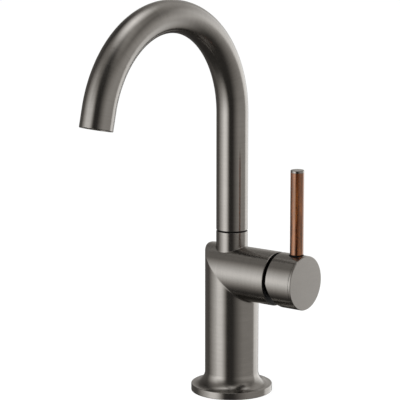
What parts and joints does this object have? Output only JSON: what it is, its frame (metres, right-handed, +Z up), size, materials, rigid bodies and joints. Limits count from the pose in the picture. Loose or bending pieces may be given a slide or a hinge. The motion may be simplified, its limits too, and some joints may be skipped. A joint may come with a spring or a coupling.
{
  "type": "gooseneck bar faucet",
  "caption": "Single-hole bar faucet with a tall swivelling gooseneck spout on a mitred column and one side lever with a wooden grip that tilts for flow and turns for temperature.",
  "frame": {"origin": "middle of the column on the deck plane, which is the underside of the flange", "axes": "+Z up out of the deck, -Y the way the spout reaches at rest (the front), +X along the barrel towards the handle"},
  "size_m": [0.0918, 0.1846, 0.3398],
  "materials": {
    "metal": "brushed warm dark nickel",
    "rubber": "matt black",
    "brass": "turned, unplated",
    "steel": "plain steel",
    "ivory_plastic": "moulded",
    "dark_plastic": "moulded",
    "blue_plastic": "moulded",
    "ceramic": "lapped",
    "wood": "lacquered reddish brown, grain along the lever",
    "cap_metal": "polished"
  },
  "bodies": {
    "root": {"faucet_body": "metal", "base_gasket": "rubber", "mounting_shank": "brass", "rubber_washer": "rubber", "steel_washer": "steel", "mounting_nut": "brass", "jack_screws": "steel", "port_seals": "rubber", "cartridge_base": "ivory_plastic", "disc_seals": "rubber", "fixed_disc": "ceramic", "cartridge_housing": "dark_plastic", "friction_ring": "ivory_plastic", "cartridge_nut": "steel", "swivel_ring": "dark_plastic", "snap_ring": "dark_plastic"},
    "stem_guide": {"stem_guide": "ivory_plastic", "pivot_pin": "steel"},
    "mixing_slide": {"moving_disc": "ceramic", "disc_carrier": "blue_plastic"},
    "handle": {"valve_stem": "brass", "handle_hub": "metal", "hub_set_screw": "steel", "lever_rod": "steel", "wood_sleeve": "wood", "lever_cap": "cap_metal", "foot_ring": "dark_plastic"},
    "spout": {"spout_tube": "metal", "spout_spigot": "brass", "spout_orings": "rubber", "aerator_gasket": "rubber", "flow_disc": "ivory_plastic", "aerator_housing": "dark_plastic", "aerator_screen": "ivory_plastic"}
  },
  "joints": [
    {"name": "spout_swivel", "type": "hinge", "parent": "root", "child": "spout", "pos_m": [0, 0, 0.1154], "axis": [0, 0, 1], "continuous": true},
    {"name": "temperature_turn", "type": "hinge", "parent": "root", "child": "stem_guide", "pos_m": [0.033, 0, 0.086], "axis": [1, 0, 0], "range_deg": [-50, 50]},
    {"name": "flow_tilt", "type": "hinge", "parent": "stem_guide", "child": "handle", "pos_m": [0.033, 0, 0.086], "axis": [0, 1, 0], "range_deg": [0, 20]},
    {"name": "disc_slide", "type": "slide", "parent": "stem_guide", "child": "mixing_slide", "axis": [0, 0, 1], "range_m": [0, 0.0028]}
  ],
  "couplings": [
    {"joint": "disc_slide", "follows": "flow_tilt", "m_per_rad": 0.007623}
  ]
}
